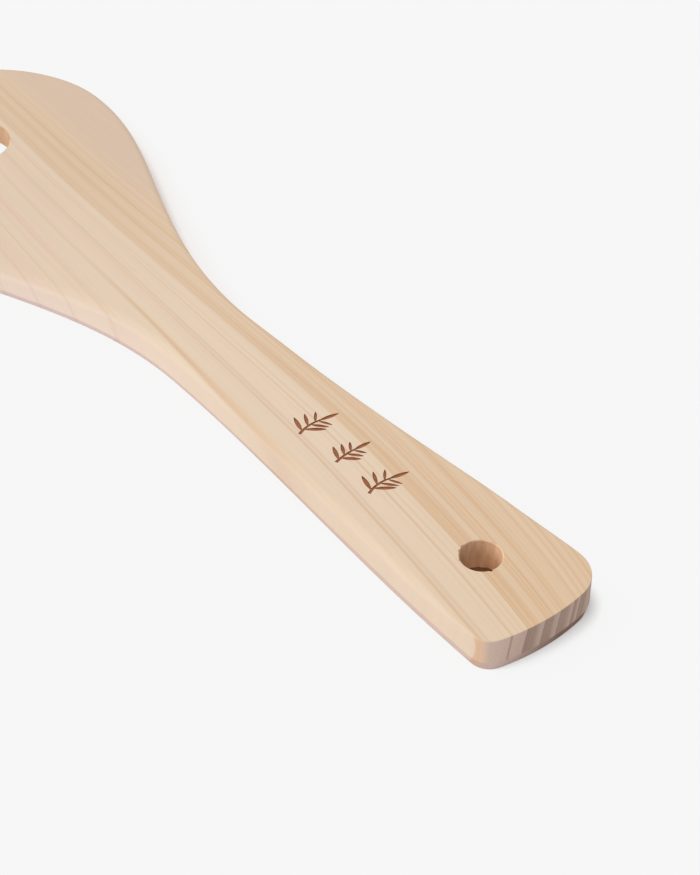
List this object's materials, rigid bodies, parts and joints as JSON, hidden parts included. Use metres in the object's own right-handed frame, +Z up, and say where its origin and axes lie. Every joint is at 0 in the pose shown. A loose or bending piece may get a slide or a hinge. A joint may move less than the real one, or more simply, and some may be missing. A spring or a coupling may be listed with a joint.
{
  "type": "wooden spatula",
  "caption": "Flat wooden spatula with a tapering paddle handle, a hanging hole at its end, and a broad round-ended blade with a round hole, for stirring and serving food.",
  "frame": {"origin": "under the middle of the spatula, on the flat underside that it lies on", "axes": "+X along the length from the handle's end to the blade's tip, +Y across, +Z up out of the face that carries the food"},
  "size_m": [0.2368, 0.0718, 0.0076],
  "materials": {
    "pale_softwood": "planed and sanded bare softwood with straight grain, satin, no varnish"
  },
  "bodies": {
    "root": {"spatula_body": "pale_softwood"}
  },
  "joints": []
}
